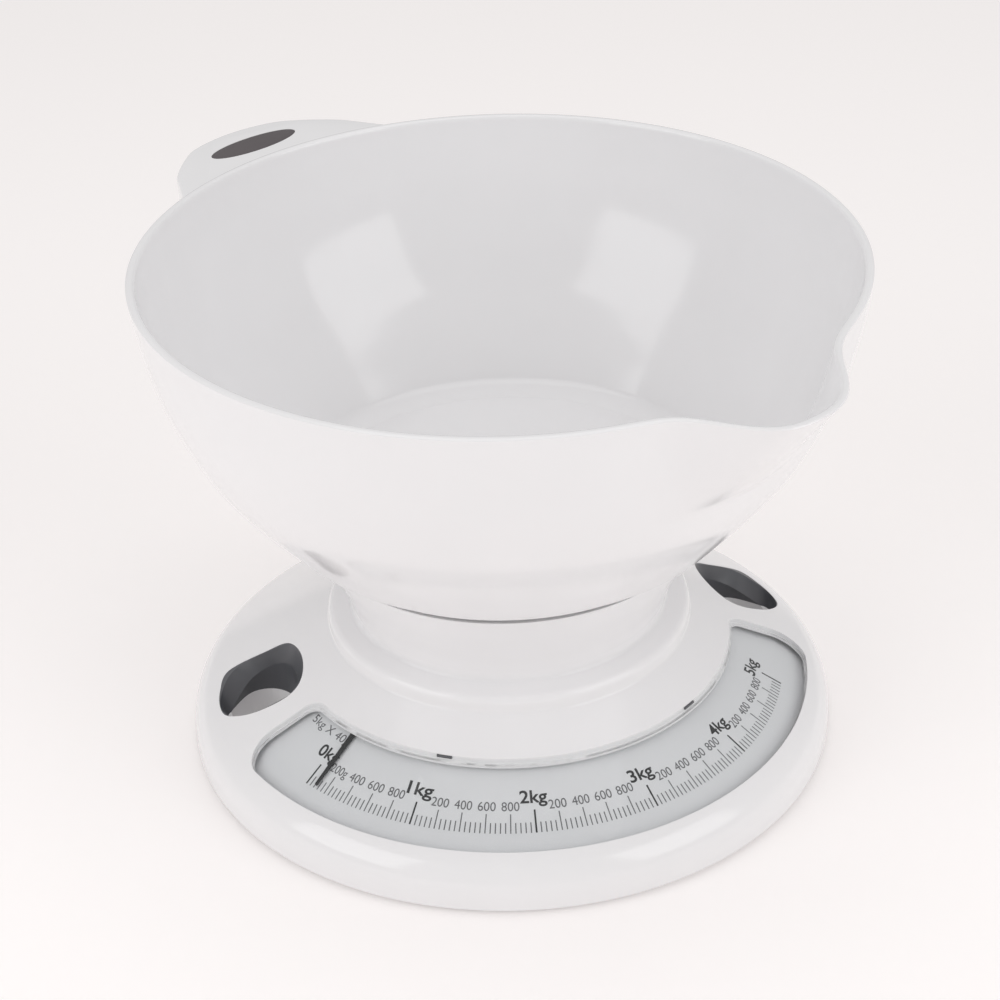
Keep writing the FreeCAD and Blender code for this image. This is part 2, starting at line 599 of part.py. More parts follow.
def build_pointer():
    parts = {}
    tip = PITCH_R + 0.8 * MODULE
    root = PITCH_R - 1.05 * MODULE
    hub = tube(root, 0, PINION_Z, PINION_Z + PINION)
    for i in range(PINION_TEETH):
        corners = []
        for radius, way in ((root - 0.3, 1), (PITCH_R, 1), (tip, 1), (tip, -1), (PITCH_R, -1), (root - 0.3, -1)):
            half = rack_tooth_half(radius - PITCH_R, TOOTH_SLACK) * (1 if radius <= PITCH_R else 0.92)
            corners.append(V(-radius, way * half, PINION_Z))
        corners.append(corners[0])
        tooth = Part.Face(Part.makePolygon(corners)).extrude(V(0, 0, PINION))
        tooth.rotate(V(0, 0, 0), V(0, 0, 1), 360.0 * i / PINION_TEETH)
        hub = hub.fuse(tooth)
    flange_z = PINION_Z + PINION
    hub = hub.fuse(tube(FLANGE_R, 0, flange_z, flange_z + FLANGE))
    hub = hub.fuse(tube(HUB_R, 0, flange_z, HUB_TOP_Z))
    hub = hub.cut(Part.makeCylinder(TUBE_R + RUN_GAP, 20, V(0, 0, PINION_Z - 1)))
    parts["pointer_hub"] = hub.removeSplitter()

    low = flange_z + FLANGE
    lift = CONE_APEX - DIAL_DROP + POINTER_GAP
    bend_r = (lift - low) / TAN
    side = Part.makePolygon([V(HUB_R, 0, low), V(bend_r, 0, low), V(POINTER_TIP_R, 0, lift - POINTER_TIP_R * TAN),
                             V(POINTER_TIP_R, 0, lift - POINTER_TIP_R * TAN + POINTER),
                             V(bend_r, 0, low + POINTER), V(HUB_R, 0, low + POINTER), V(HUB_R, 0, low)])
    strip = Part.Face(side).extrude(V(0, 20, 0))
    strip.translate(V(0, -10, 0))
    half_root = POINTER_ROOT_W / 2
    half_tip = POINTER_TIP_W / 2
    plan = Part.makePolygon([V(HUB_R, -half_root, 0), V(POINTER_TIP_R, -half_tip, 0),
                             V(POINTER_TIP_R, half_tip, 0), V(HUB_R, half_root, 0), V(HUB_R, -half_root, 0)])
    strip = strip.common(Part.Face(plan).extrude(V(0, 0, CONE_APEX)))
    ring = tube(POINTER_RING_R, 0, low, low + POINTER)
    hand = strip.fuse(ring).cut(Part.makeCylinder(HUB_R, CONE_APEX))
    hand.rotate(V(0, 0, 0), V(0, 0, 1), REST_DEG)
    parts["pointer"] = hand.removeSplitter()
    return parts


def build_rack():
    parts = {}
    top = RACK_Z + RACK_H
    body = block(RACK_BACK_X, -PITCH_R - 1.05 * MODULE, RACK_FRONT_Y, RACK_REAR_Y, RACK_Z, top)
    pitch = math.pi * MODULE
    first = math.ceil((RACK_FRONT_Y / 3 + 1) / pitch)
    last = math.floor((RACK_TRAVEL + 5) / pitch)
    for i in range(first, last + 1):
        y = (i + 0.5) * pitch
        wide = rack_tooth_half(-1.05 * MODULE, TOOTH_SLACK)
        narrow = rack_tooth_half(0.8 * MODULE, TOOTH_SLACK)
        back = -PITCH_R - 1.05 * MODULE
        front = -PITCH_R + 0.8 * MODULE
        corners = [V(back, y - wide, RACK_Z), V(front, y - narrow, RACK_Z),
                   V(front, y + narrow, RACK_Z), V(back, y + wide, RACK_Z), V(back, y - wide, RACK_Z)]
        body = body.fuse(Part.Face(Part.makePolygon(corners)).extrude(V(0, 0, RACK_H)))
    half = FINGER_R + SLOT_SLACK
    tab_x0 = RACK_BACK_X + 0.4
    tab_x1 = tab_x0 + 2.0
    lowest = CRANK_Z + CRANK_LONG * math.cos(TRAVEL / CRANK_SHORT + CRANK_REST) - half
    tab = block(tab_x0, tab_x1, FINGER_Y - half - 1.6, FINGER_Y + half + 1.6, lowest - 2.2, RACK_Z + 1)
    slot = block(tab_x0 - 1, tab_x1 + 1, FINGER_Y - half, FINGER_Y + half, lowest - 0.6, RACK_Z - 0.05)
    parts["rack"] = body.fuse(tab).cut(slot).removeSplitter()

    frame_x = LONG_ARM_X - EAR - 3.4
    base_low = COVER_TOP_Z + 0.6
    front_end = GUIDE_FRONT_Y - 2
    rear_end = GUIDE_REAR_Y + GUIDE + 4
    frame = block(frame_x - 7, frame_x, front_end, rear_end, base_low, base_low + 1.5)
    frame = frame.fuse(block(frame_x - 1, RACK_BACK_X + 3, front_end, GUIDE_FRONT_Y + GUIDE + 1,
                             base_low, base_low + 1.5))
    frame = frame.fuse(block(frame_x - 1, RACK_BACK_X + 3, GUIDE_REAR_Y - 0.4, rear_end,
                             base_low, base_low + 1.5))
    channel = block(RACK_BACK_X - SLIDE_GAP, 0, front_end - 5, rear_end + 5, RACK_Z - SLIDE_GAP, top + SLIDE_GAP)
    for y in (GUIDE_FRONT_Y, GUIDE_REAR_Y):
        post = block(RACK_BACK_X - SLIDE_GAP - 2.7, RACK_BACK_X + 3.6, y, y + GUIDE, base_low,
                     top + SLIDE_GAP + 1.0)
        frame = frame.fuse(post.cut(channel))
    screws = []
    for y in (-8.5, 22.5):
        at = V(-22.0, y, 0)
        frame = frame.cut(Part.makeCylinder(1.0, 8, V(at.x, at.y, base_low - 2)))
        head = Part.makeCylinder(2.0, 1.2, V(at.x, at.y, base_low + 1.5))
        screws.append(head.fuse(Part.makeCylinder(1.0, 3.2, V(at.x, at.y, base_low - 1.7))))
    parts["rack_frame"] = frame.removeSplitter()
    parts["rack_frame_screws"] = Part.makeCompound(screws)
    return parts


def build_crank():
    parts = {}
    pivot = V(0, CRANK_SHORT, CRANK_Z)
    outer_x = LONG_ARM_X
    inner_x = SHORT_ARM_X + CRANK_T
    hub = along_x(CRANK_HUB_R, outer_x, inner_x, pivot.y, pivot.z)
    # arms drawn at the middle of the travel, then turned back to rest
    long_arm = block(outer_x, outer_x + CRANK_T, pivot.y - 1.5, pivot.y + 1.5, pivot.z, pivot.z + CRANK_LONG)
    long_arm = long_arm.fuse(along_x(2.0, outer_x, outer_x + CRANK_T, pivot.y, pivot.z + CRANK_LONG))
    finger = along_x(FINGER_R, outer_x + CRANK_T, RACK_BACK_X + 2.9, pivot.y, pivot.z + CRANK_LONG)
    reach = CRANK_SHORT + 2.6
    short_arm = block(SHORT_ARM_X, inner_x, pivot.y - reach, pivot.y, pivot.z - 2.4, pivot.z + 2.4)
    half = DRIVE_PIN_R + 0.3
    slot = block(SHORT_ARM_X - 1, inner_x + 1, pivot.y - reach - 1, pivot.y - CRANK_SHORT + half,
                 pivot.z - half, pivot.z + half)
    crank = hub.fuse(long_arm).fuse(finger).fuse(short_arm.cut(slot))
    crank = crank.cut(along_x(CRANK_PIN_R + RUN_GAP, outer_x - 1, inner_x + 1, pivot.y, pivot.z))
    crank.rotate(pivot, V(1, 0, 0), math.degrees(CRANK_REST))
    parts["bell_crank"] = crank.removeSplitter()

    gap = 0.35
    ear_in = inner_x + gap
    ear_out = outer_x - gap
    parts["crank_pin"] = along_x(CRANK_PIN_R, ear_out - EAR - 0.4, ear_in + EAR + 0.3, pivot.y, pivot.z)
    low = COVER_TOP_Z + SLIDE_GAP
    plate_top = low + 1.4
    bracket = block(ear_out - EAR, ear_in + EAR, pivot.y - 2.3, BRACKET_REAR_Y, low, plate_top)
    for x0 in (ear_out - EAR, ear_in):
        ear = block(x0, x0 + EAR, pivot.y - 2.3, pivot.y + 2.3, low, pivot.z)
        bracket = bracket.fuse(ear).fuse(along_x(2.3, x0, x0 + EAR, pivot.y, pivot.z))
    lug = block(ZERO_X - 2.6, ZERO_X + 2.6, BRACKET_REAR_Y - 3.5, BRACKET_REAR_Y, low, ZERO_Z + 2.6)
    bracket = bracket.fuse(lug)
    bracket = bracket.cut(along_x(CRANK_PIN_R, -30, 10, pivot.y, pivot.z))
    bracket = bracket.cut(along_y(ZERO_R + RUN_GAP, 0, 40, ZERO_X, ZERO_Z))
    parts["crank_bracket"] = bracket.removeSplitter()

    knob_low = math.sqrt(BASE_R ** 2 - ZERO_X ** 2) + 0.8
    parts["zero_screw"] = along_y(ZERO_R, BRACKET_REAR_Y - 5, knob_low + KNOB_W - 1, ZERO_X, ZERO_Z)
    clip_y = BASE_R - CLIP_BACK
    clip = along_y(CLIP_R, clip_y, clip_y + CLIP, ZERO_X, ZERO_Z)
    parts["zero_clip"] = clip.cut(along_y(ZERO_R, clip_y - 1, clip_y + 2, ZERO_X, ZERO_Z))
    knob = along_y(KNOB_R, knob_low, knob_low + KNOB_W, ZERO_X, ZERO_Z)
    for i in range(KNOB_FLUTES):
        a = 2 * math.pi * i / KNOB_FLUTES
        flute = along_y(0.6, knob_low - 1, knob_low + KNOB_W + 1,
                        ZERO_X + (KNOB_R + 0.15) * math.cos(a), ZERO_Z + (KNOB_R + 0.15) * math.sin(a))
        knob = knob.cut(flute)
    parts["zero_knob"] = knob.cut(along_y(ZERO_R, knob_low - 1, knob_low + KNOB_W - 1, ZERO_X, ZERO_Z))
    return parts


# ---------------------------------------------------------------- bowl
def bowl_curve():
    """Profile of the bowl's wall: a curve through depths below the rim and changes of radius."""
    curve = Part.BSplineCurve()
    curve.interpolate([V(BOWL_R + across, 0, BOWL_RIM_Z - deep) for deep, across in BOWL_PROFILE])
    return curve


BOWL_CURVE = bowl_curve()


def bowl_section(t, inset):
    """Closed curve round the bowl at a point t of its profile, with the pouring spout."""
    point = BOWL_CURVE.value(t * BOWL_CURVE.LastParameter)
    along = BOWL_CURVE.tangent(t * BOWL_CURVE.LastParameter)[0]
    z = point.z + inset * abs(along.x)
    fade = max(0.0, 1 - (BOWL_RIM_Z - z) / SPOUT_DEEP) ** SPOUT_FADE
    points = []
    for i in range(SECTION_POINTS):
        right = 360.0 * i / SECTION_POINTS
        left = 360.0 - right
        away = min(right / SPOUT_RIGHT_DEG, left / SPOUT_LEFT_DEG)
        swell = math.exp(-away ** SPOUT_SQUARE)
        radius = point.x - inset * abs(along.z) + SPOUT_OUT * fade * swell
        points.append(polar(radius, SPOUT_DEG + 360.0 * i / SECTION_POINTS, z))
    curve = Part.BSplineCurve()
    curve.interpolate(Points=points, PeriodicFlag=True)
    return Part.Wire(curve.toShape())


def bowl_body(inset):
    sections = [bowl_section(i / BOWL_LEVELS, inset) for i in range(BOWL_LEVELS + 1)]
    return Part.makeLoft(sections, True)


def handle_plan(inset, z):
    """Outline of the handle tab: an arch that runs into the rim on both sides."""
    half = HANDLE_PLAN[0][1]
    shrink = (half - inset) / half
    side = [V(out - inset, across * shrink, z) for out, across in HANDLE_PLAN]
    other = [V(p.x, -p.y, z) for p in reversed(side)]
    curve = Part.BSplineCurve()
    curve.interpolate(side + [V(HANDLE_OUT_R - inset, 0, z)] + other)
    near = BOWL_R - 16
    back = Part.makePolygon([other[-1], V(near, other[-1].y, z), V(near, side[0].y, z), side[0]])
    wire = Part.Wire([curve.toShape()] + back.Edges)
    wire.rotate(V(0, 0, 0), V(0, 0, 1), HANDLE_DEG)
    return Part.Face(wire)


def build_bowl():
    parts = {}
    bowl = bowl_body(0).cut(bowl_body(BOWL_WALL))
    foot_top = BOWL_RIM_Z - BOWL_PROFILE[-1][0] + 1
    foot = tube(BOWL_FOOT_R, BOWL_FOOT_R - BOWL_FOOT_W, PLATFORM_Z, foot_top)
    bowl = bowl.fuse(foot)

    # handle: a flat tab level with the rim, with a skirt round its edge
    top = BOWL_RIM_Z - 0.4
    tab = handle_plan(0, top - HANDLE_SKIRT).extrude(V(0, 0, HANDLE_SKIRT))
    under = handle_plan(HANDLE_WALL, top - HANDLE_SKIRT - 1).extrude(V(0, 0, HANDLE_SKIRT - HANDLE_T + 1))
    tab = tab.cut(under)
    tab = tab.cut(bowl_body(BOWL_WALL / 2))
    bowl = bowl.fuse(tab)
    ellipse = Part.Ellipse(V(0, 0, 0), GRIP_INSERT_L / 2, GRIP_INSERT_W / 2)
    seat = Part.Face(Part.Wire(ellipse.toShape()))
    seat.rotate(V(0, 0, 0), V(0, 0, 1), 90)
    seat.translate(V(GRIP_INSERT_R, 0, top - GRIP_INSERT_T))
    seat.rotate(V(0, 0, 0), V(0, 0, 1), HANDLE_DEG)
    insert = seat.extrude(V(0, 0, GRIP_INSERT_T + 0.3))
    bowl = bowl.cut(insert)
    parts["bowl"] = bowl.removeSplitter()
    parts["grip_insert"] = insert
    return parts


def build_all():
    parts, outer, passage = build_base()
    parts.update(build_cover(outer, passage))
    parts.update(build_deck())
    parts.update(build_platform())
    parts.update(build_pointer())
    parts.update(build_rack())
    parts.update(build_crank())
    parts.update(build_bowl())
    return parts


os.makedirs("parts", exist_ok=True)
for node, shape in build_all().items():
    shape.exportStep("parts/" + node + ".step")
    print(node, "solids", len(shape.Solids), "valid", shape.isValid(), "volume", round(shape.Volume, 1))
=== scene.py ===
import json
import math

import bmesh
import bpy
from mathutils import Matrix, Vector


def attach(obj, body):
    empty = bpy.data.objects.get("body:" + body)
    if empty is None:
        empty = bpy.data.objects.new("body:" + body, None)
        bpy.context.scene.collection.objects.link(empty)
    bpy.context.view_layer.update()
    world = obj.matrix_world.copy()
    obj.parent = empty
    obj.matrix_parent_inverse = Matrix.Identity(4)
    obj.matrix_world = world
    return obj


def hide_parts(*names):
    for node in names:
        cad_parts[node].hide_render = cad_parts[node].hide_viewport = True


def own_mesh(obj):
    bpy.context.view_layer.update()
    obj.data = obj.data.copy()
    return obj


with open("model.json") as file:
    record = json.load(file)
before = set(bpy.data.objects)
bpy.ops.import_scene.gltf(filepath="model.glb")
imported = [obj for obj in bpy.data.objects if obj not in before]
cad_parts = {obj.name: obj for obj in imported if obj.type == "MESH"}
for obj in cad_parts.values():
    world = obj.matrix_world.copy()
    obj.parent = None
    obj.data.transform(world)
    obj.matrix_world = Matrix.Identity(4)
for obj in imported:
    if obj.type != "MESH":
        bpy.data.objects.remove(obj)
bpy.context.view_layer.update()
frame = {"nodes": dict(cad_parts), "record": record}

bl_info = {
    "name": "Kitchen Scale",
    "version": (1, 0, 0),
    "blender": (4, 5, 0),
    "location": "View3D > Sidebar > Kitchen Scale",
    "description": "Builds the visible pieces of a mechanical kitchen scale round its frame",
    "category": "Object",
}

MM = 0.001
SLOPE = math.tan(math.radians(30.0))        # fall of the base's top cone for each unit outwards
APEX = 76.5                                 # where that cone would meet the axis, in mm
TURN_STEPS = 192                            # steps round a turned piece


# ------------------------------------------------------------------ properties
class ScaleSizes(bpy.types.PropertyGroup):
    window_in: bpy.props.FloatProperty(
        name="Window inner radius", description="Inner edge of the dial window",
        default=74.2 * MM, unit="LENGTH")
    window_out: bpy.props.FloatProperty(
        name="Window outer radius", description="Outer edge of the dial window",
        default=101.0 * MM, unit="LENGTH")
    window_end: bpy.props.FloatProperty(
        name="Window end", description="How far in front of the axis the window's ends lie",
        default=19.3 * MM, unit="LENGTH")
    lens_gap: bpy.props.FloatProperty(
        name="Lens gap", description="Gap between the lens and the housing",
        default=0.35 * MM, unit="LENGTH")
    dial_drop: bpy.props.FloatProperty(
        name="Dial drop", description="Dial below the top of the base, measured upright",
        default=4.5 * MM, unit="LENGTH")
    rim_radius: bpy.props.FloatProperty(
        name="Bowl radius", description="Radius of the bowl's rim",
        default=115.0 * MM, unit="LENGTH")
    rim_height: bpy.props.FloatProperty(
        name="Rim height", description="Height of the bowl's rim over the table",
        default=172.2 * MM, unit="LENGTH")
    spout_reach: bpy.props.FloatProperty(
        name="Spout reach", description="How far the spout stands out from the rim",
        default=23.4 * MM, unit="LENGTH")


class ScaleColours(bpy.types.PropertyGroup):
    plastic: bpy.props.StringProperty(
        name="Plastic", description="sRGB colour of the white mouldings", default="F0EFF0")
    # this colour also paints the shade of the two snap notches at the window's inner edge, through the
    # dark_plastic material
    liner: bpy.props.StringProperty(
        name="Liner", description="sRGB colour of the finger grips", default="55565A")
    dial: bpy.props.StringProperty(
        name="Dial", description="sRGB colour of the dial sheet", default="E4E4E6")
    ink: bpy.props.StringProperty(
        name="Ink", description="sRGB colour of the dial's print", default="2B2B2D")
    floor: bpy.props.StringProperty(
        name="Floor", description="sRGB colour of the floor", default="F8F4F3")


# ------------------------------------------------------------------ materials
def linear(hex_code):
    """Linear colour of an sRGB hex code."""
    out = []
    for i in (0, 2, 4):
        c = int(hex_code[i:i + 2], 16) / 255
        out.append(c / 12.92 if c <= 0.04045 else ((c + 0.055) / 1.055) ** 2.4)
    return (*out, 1.0)


def add(material, kind, settings=(), links=()):
    """Adds a node; settings are attribute or input values, links are (input, output socket)."""
    node = material.node_tree.nodes.new(kind)
    for name, value in dict(settings).items():
        if name in node.inputs:
            node.inputs[name].default_value = value
        else:
            setattr(node, name, value)
    for name, socket in dict(links).items():
        material.node_tree.links.new(socket, node.inputs[name])
    return node


def start(name):
    material = bpy.data.materials.new(name)
    material.use_nodes = True
    material.node_tree.nodes.clear()
    return material


def finish(material, shader):
    out = material.node_tree.nodes.new("ShaderNodeOutputMaterial")
    material.node_tree.links.new(shader, out.inputs["Surface"])
    return material


def noise(material, size_mm, detail=2.0):
    """Noise in object space whose lumps are about size_mm across."""
    place = add(material, "ShaderNodeTexCoord")
    return add(material, "ShaderNodeTexNoise", {"Scale": 1000.0 / size_mm, "Detail": detail},
               {"Vector": place.outputs["Object"]})


def spread(material, source, low, high):
    """Maps noise from 0.3..0.7 to low..high."""
    return add(material, "ShaderNodeMapRange",
               {"From Min": 0.3, "From Max": 0.7, "To Min": low, "To Max": high}, {"Value": source})


def mix_colour(material, source, colour, other):
    node = material.node_tree.nodes.new("ShaderNodeMix")
    node.data_type = "RGBA"
    material.node_tree.links.new(source, node.inputs[0])
    node.inputs[6].default_value = colour
    node.inputs[7].default_value = other
    return node


def shade(hex_code, factor):
    c = linear(hex_code)
    return (c[0] * factor, c[1] * factor, c[2] * factor, 1.0)


def moulded(name, hex_code, rough, rough_range, bump_mm, grain_mm, ior=1.5, vary=0.97, coat=0.0):
    """A moulded plastic or rubber: even colour, slight patches of shine and a fine surface."""
    m = start(name)
    patches = noise(m, 38.0)
    grain = noise(m, grain_mm, 3.0)
    colour = mix_colour(m, spread(m, patches.outputs[0], 0.0, 1.0).outputs[0],
                        linear(hex_code), shade(hex_code, vary))
    roughness = spread(m, patches.outputs[0], rough, rough + rough_range)
    bump = add(m, "ShaderNodeBump", {"Strength": 0.35, "Distance": bump_mm * MM},
               {"Height": grain.outputs[0]})
    shader = add(m, "ShaderNodeBsdfPrincipled", {"IOR": ior, "Coat Weight": coat, "Coat Roughness": 0.04},
                 {"Base Color": colour.outputs[2], "Roughness": roughness.outputs[0],
                  "Normal": bump.outputs[0]})
    return finish(m, shader.outputs[0])


def metal(name, hex_code, rough, rough_range, grain_mm):
    """A plated or drawn metal with fine patches in its shine."""
    m = start(name)
    grain = noise(m, grain_mm, 4.0)
    colour = mix_colour(m, spread(m, grain.outputs[0], 0.0, 1.0).outputs[0],
                        linear(hex_code), shade(hex_code, 0.85))
    roughness = spread(m, grain.outputs[0], rough, rough + rough_range)
    shader = add(m, "ShaderNodeBsdfPrincipled", {"Metallic": 1.0},
                 {"Base Color": colour.outputs[2], "Roughness": roughness.outputs[0]})
    return finish(m, shader.outputs[0])


def clear_window(name):
    """Polished clear styrene: nearly all is seen through, with a mirror glint at low angles."""
    m = start(name)
    fresnel = add(m, "ShaderNodeFresnel", {"IOR": 1.5})
    # rays pass straight through, so only the faces towards the eye may mirror
    sides = add(m, "ShaderNodeNewGeometry")
    outside = add(m, "ShaderNodeMath", {"operation": "SUBTRACT", "Value": 1.0},
                  {1: sides.outputs["Backfacing"]})
    share = add(m, "ShaderNodeMath", {"operation": "MULTIPLY"},
                {0: fresnel.outputs[0], 1: outside.outputs[0]})
    through = add(m, "ShaderNodeBsdfTransparent", {"Color": (0.985, 0.99, 0.99, 1.0)})
    glint = add(m, "ShaderNodeBsdfGlossy", {"Roughness": 0.03})
    mixed = add(m, "ShaderNodeMixShader")
    m.node_tree.links.new(share.outputs[0], mixed.inputs[0])
    m.node_tree.links.new(through.outputs[0], mixed.inputs[1])
    m.node_tree.links.new(glint.outputs[0], mixed.inputs[2])
    return finish(m, mixed.outputs[0])


def make_materials(colours):
    """One material for each real material and the way its surface was made."""
    return {
        # Polished moulds leave a glossy skin with a trace of orange peel.
        "white_plastic": moulded("glossy moulded ABS", colours.plastic, 0.10, 0.06, 0.010, 6.0, 1.53, 0.985),
        # A sparked mould gives the grips a satin skin that scatters the glints.
        "dark_plastic": moulded("satin moulded ABS", colours.liner, 0.32, 0.08, 0.03, 0.7, 1.53, 0.92),
        # Offset printed sheet: flat, with an even faint tooth.
        "dial_face": moulded("printed styrene sheet", colours.dial, 0.48, 0.06, 0.01, 0.5, 1.5, 0.985),
        "ink": moulded("screen printed ink", colours.ink, 0.45, 0.05, 0.01, 0.4, 1.5, 0.9),
        "fine_ink": moulded("screen printed fine ink", "6A6A6D", 0.45, 0.05, 0.01, 0.4, 1.5, 0.95),
        # Stoved lacquer on thin steel: a dark even satin.
        "black_paint": moulded("black lacquered steel", "1D1D1F", 0.35, 0.08, 0.008, 0.6, 1.5, 0.9),
        # Unpolished mouldings inside: duller, slightly grey.
        "inner_plastic": moulded("plain moulded ABS", "D9D8D3", 0.4, 0.1, 0.02, 1.0, 1.53, 0.96),
        "gear_plastic": moulded("natural acetal", "E4E0D2", 0.3, 0.1, 0.015, 0.8, 1.48, 0.96),
        "plated_steel": metal("zinc plated steel", "BDBDB8", 0.28, 0.14, 1.2),
        "spring_steel": metal("oiled spring steel", "8B8B8E", 0.25, 0.12, 0.8),
        "zinc_screw": metal("bright zinc screw", "C9CACB", 0.2, 0.12, 0.8),
        "bronze": metal("sintered bronze", "B0824A", 0.4, 0.12, 0.4),
        # Moulded feet: matt, with a fine tooth that takes the light softly.
        "grey_rubber": moulded("moulded rubber", "4A4A4B", 0.7, 0.1, 0.05, 0.5, 1.52, 0.9),
        "dark_rubber": moulded("soft touch rubber", "595355", 0.55, 0.1, 0.12, 0.6, 1.52, 0.9),
        "clear_lens": clear_window("clear polished styrene"),
    }


MATERIALS = {}


def wear(piece, material, angle=35.0):
    """Gives a piece its material and smooth shading up to an angle."""
    piece.data.materials.clear()
    piece.data.materials.append(MATERIALS[material])
    only(piece)
    bpy.ops.object.shade_smooth_by_angle(angle=math.radians(angle))


# ------------------------------------------------------------------ modelling helpers
def only(*pieces):
    """Selects these pieces and nothing else."""
    if bpy.context.object and bpy.context.object.mode != "OBJECT":
        bpy.ops.object.mode_set(mode="OBJECT")
    bpy.ops.object.select_all(action="DESELECT")
    for piece in pieces:
        piece.select_set(True)
    bpy.context.view_layer.objects.active = pieces[0]


def turned(name, profile, steps=TURN_STEPS):
    """A turned piece: a ring extruded and resized through (radius, height) in mm."""
    bpy.ops.object.select_all(action="DESELECT")
    radius, height = profile[0]
    bpy.ops.mesh.primitive_circle_add(vertices=steps, radius=radius * MM, fill_type="NOTHING",
                                      location=(0, 0, height * MM))
    piece = bpy.context.object
    piece.name = piece.data.name = name
    bpy.ops.object.transform_apply(location=True, rotation=False, scale=False)
    bpy.ops.object.mode_set(mode="EDIT")
    bpy.ops.mesh.select_all(action="SELECT")
    last = radius
    for radius, height in profile[1:] + profile[:1]:
        bpy.ops.mesh.extrude_edges_move(
            TRANSFORM_OT_translate={"value": (0, 0, (height - profile_height(piece)) * MM)})
        factor = radius / last
        bpy.ops.transform.resize(value=(factor, factor, 1.0), center_override=(0, 0, 0))
        last = radius
    bpy.ops.mesh.select_all(action="SELECT")
    bpy.ops.mesh.remove_doubles(threshold=0.00001)
    bpy.ops.mesh.normals_make_consistent(inside=False)
    bpy.ops.object.mode_set(mode="OBJECT")
    return piece


def profile_height(piece):
    """Height in mm of the ring that is selected."""
    edit = bmesh.from_edit_mesh(piece.data)
    return next(v.co.z for v in edit.verts if v.select) / MM


def rounded(points, steps=5):
    """Profile through (a, b, rounding) corners, with arcs at the rounded ones."""
    out = []
    count = len(points)
    for i in range(count):
        a, b, radius = points[i]
        if radius == 0:
            out.append((a, b))
            continue
        here = Vector((a, b))
        before = (Vector(points[i - 1][:2]) - here).normalized()
        after = (Vector(points[(i + 1) % count][:2]) - here).normalized()
        half = before.angle(after) / 2
        centre = here + (before + after).normalized() * (radius / math.sin(half))
        first = here + before * (radius / math.tan(half)) - centre
        last = here + after * (radius / math.tan(half)) - centre
        for k in range(steps + 1):
            way = first.normalized().slerp(last.normalized(), k / steps)
            out.append(tuple(centre + way * radius))
    return out


def apply(piece, kind, **settings):
    """Adds a modifier and applies it."""
    only(piece)
    modifier = piece.modifiers.new(kind.lower(), kind)
    for name, value in settings.items():
        setattr(modifier, name, value)
    bpy.ops.object.modifier_apply(modifier=modifier.name)


def cut(piece, cutter, how="DIFFERENCE"):
    """Cuts a piece with another one, or keeps what both share, and removes the cutter."""
    apply(piece, "BOOLEAN", object=cutter, operation=how, solver="MANIFOLD")
    bpy.data.objects.remove(cutter)


def pick(piece, kind, fits):
    """Selects the "EDGE" or "FACE" items, in edit mode, that fit."""
    bpy.ops.mesh.select_mode(type=kind)
    bpy.ops.mesh.select_all(action="DESELECT")
    edit = bmesh.from_edit_mesh(piece.data)
    for item in (edit.edges if kind == "EDGE" else edit.faces):
        if fits(item):
            item.select = True
    bmesh.update_edit_mesh(piece.data)


def place_on(piece, body):
    """The piece moves with this body."""
    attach(piece, body)


def cone_z(radius, drop=0.0):
    """Height in mm on the top cone of the base, or drop below it."""
    return APEX - radius * SLOPE - drop


def prism(name, plan, low, high):
    """Upright prism over a plan of (x, y) points in mm."""
    bpy.ops.object.select_all(action="DESELECT")
    bpy.ops.mesh.primitive_circle_add(vertices=len(plan), radius=0.1, fill_type="NGON")
    piece = bpy.context.object
    piece.name = piece.data.name = name
    for v, p in zip(piece.data.vertices, plan):
        v.co = (p[0] * MM, p[1] * MM, low * MM)
    bpy.ops.object.mode_set(mode="EDIT")
    bpy.ops.mesh.select_all(action="SELECT")
    bpy.ops.mesh.extrude_region_move(TRANSFORM_OT_translate={"value": (0, 0, (high - low) * MM)})
    bpy.ops.mesh.select_all(action="SELECT")
    bpy.ops.mesh.normals_make_consistent(inside=False)
    bpy.ops.object.mode_set(mode="OBJECT")
    return piece


def window_prism(name, inset, low=0.0, high=80.0):
    """Upright prism of the dial window, moved in by inset, with rounded corners."""
    sizes = bpy.context.scene.scale_sizes
    end = -sizes.window_end / MM - inset
    half = []
    for radius, corner, side in ((sizes.window_out / MM - inset, 9.0 - inset, -1),
                                 (sizes.window_in / MM + inset, 6.5 - inset, 1)):
        low_y = end - corner
        centre = Vector((math.sqrt((radius + side * corner) ** 2 - low_y ** 2), low_y))
        touch = math.atan2(centre.y, centre.x)
        first = touch if side < 0 else touch + math.pi
        arc = [Vector((radius * math.cos(a), radius * math.sin(a)))
               for a in (-math.pi / 2 + (touch + math.pi / 2) * k / 64 for k in range(65))]
        bend = [centre + corner * Vector((math.cos(a), math.sin(a)))
                for a in (first + (math.pi / 2 - first) * k / 12 for k in range(1, 13))]
        path = arc + bend
        half += path if side < 0 else path[::-1]
    mirrored = [Vector((-p.x, p.y)) for p in reversed(half)]
    return prism(name, half + mirrored[1:-1], low, high)


# ------------------------------------------------------------------ pieces, in mm
BASE_R = 108.5
FOOT_LIFT = 1.5
EDGE_ROUND = 13.0
SHOULDER_R = 60.8
WAIST_R = 52.8
SKIN = 2.2
SKIN_UPRIGHT = 2.54                         # the skin of the sloping top, measured upright
LENS_UPRIGHT = 1.73                         # the lens, measured upright
LEDGE = 0.9
LINER_CLEAR = 0.08                          # the housing's top above the rims of the liners
BAND_IN_R = 66.0
BAND_OUT_R = 106.0
BOWL_PROFILE = ((0.0, 0.0), (6.5, -0.85), (18.5, -3.0), (33.0, -6.8), (47.0, -12.5), (57.5, -18.1),
                (68.0, -25.7), (78.7, -34.5), (84.8, -39.6))
BOWL_WALL = 2.6
SPOUT_DEG = -69.0
SPOUT_LEFT_DEG = 10.0
SPOUT_RIGHT_DEG = 13.8
SPOUT_SQUARE = 2.8
SPOUT_DEEP = 40.0
HANDLE_DEG = 114.7
